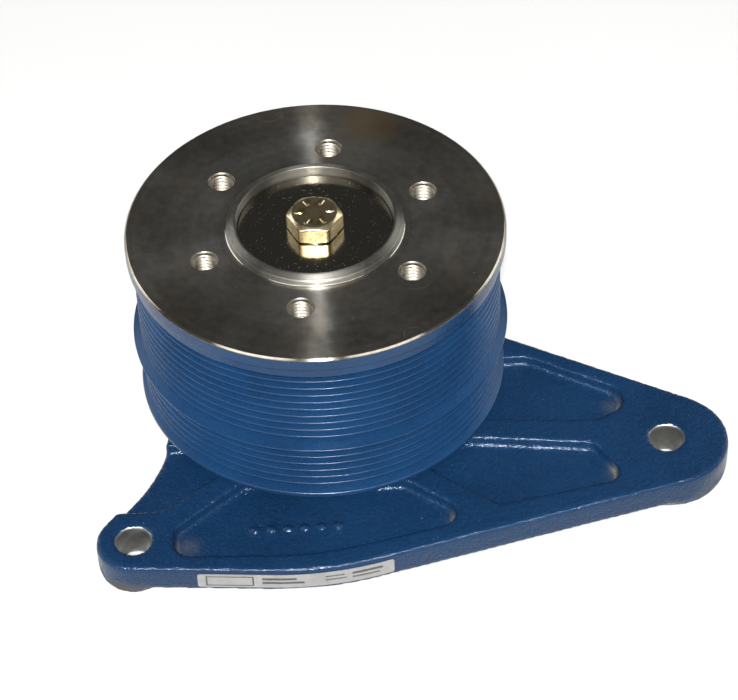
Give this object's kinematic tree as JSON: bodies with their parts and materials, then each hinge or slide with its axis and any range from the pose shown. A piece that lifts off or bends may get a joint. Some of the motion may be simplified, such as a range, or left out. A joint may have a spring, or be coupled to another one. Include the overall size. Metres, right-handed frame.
{
  "type": "belt driven fan hub",
  "caption": "Grooved two-track belt pulley with a drilled fan flange, turning on ball bearings on a fixed spindle in a cast three-lug bracket.",
  "frame": {"origin": "on the spindle axis, in the plane of the mounting pads under the bracket", "axes": "+Z along the spindle towards the fan, +X roughly along the bracket's long side towards the large lug, +Y towards the rear lug"},
  "size_m": [0.2405, 0.2099, 0.097],
  "materials": {
    "blue_paint": "gloss blue paint over a sand-cast surface",
    "painted_iron": "gloss blue paint on the rim, bare turned iron on the fan face",
    "ground_steel": "ground bearing steel",
    "label_foil": "blank satin foil label",
    "black_oxide": "dark oiled steel, finely turned and nearly mirror bright",
    "yellow_zinc": "dulled yellow zinc plate",
    "seal_rubber": "black nitrile rubber",
    "spring_steel": "phosphated spring steel",
    "brass": "machined brass cage"
  },
  "bodies": {
    "bracket": {"bracket": "blue_paint", "spindle": "ground_steel", "spindle_dowel": "ground_steel", "grease_slinger": "ground_steel", "blank_label": "label_foil", "end_plate": "black_oxide", "end_bolt": "yellow_zinc", "bearing_spacer": "ground_steel", "front_inner_ring": "ground_steel", "rear_inner_ring": "ground_steel"},
    "hub": {"pulley_hub": "painted_iron", "rear_seal": "seal_rubber", "retaining_ring": "spring_steel", "front_outer_ring": "ground_steel", "rear_outer_ring": "ground_steel", "front_shield_upper": "seal_rubber", "front_shield_lower": "seal_rubber", "rear_shield_upper": "seal_rubber", "rear_shield_lower": "seal_rubber"},
    "front_ball_train": {"front_cage": "brass", "front_balls": "ground_steel"},
    "rear_ball_train": {"rear_cage": "brass", "rear_balls": "ground_steel"}
  },
  "joints": [
    {"name": "hub_spin", "type": "hinge", "parent": "bracket", "child": "hub", "pos_m": [0, 0, 0.05], "axis": [0, 0, 1], "continuous": true},
    {"name": "front_train_spin", "type": "hinge", "parent": "bracket", "child": "front_ball_train", "pos_m": [0, 0, 0.072], "axis": [0, 0, 1], "continuous": true},
    {"name": "rear_train_spin", "type": "hinge", "parent": "bracket", "child": "rear_ball_train", "pos_m": [0, 0, 0.036], "axis": [0, 0, 1], "continuous": true}
  ],
  "couplings": [
    {"joint": "front_train_spin", "follows": "hub_spin", "ratio": 0.6035},
    {"joint": "rear_train_spin", "follows": "hub_spin", "ratio": 0.6035}
  ]
}
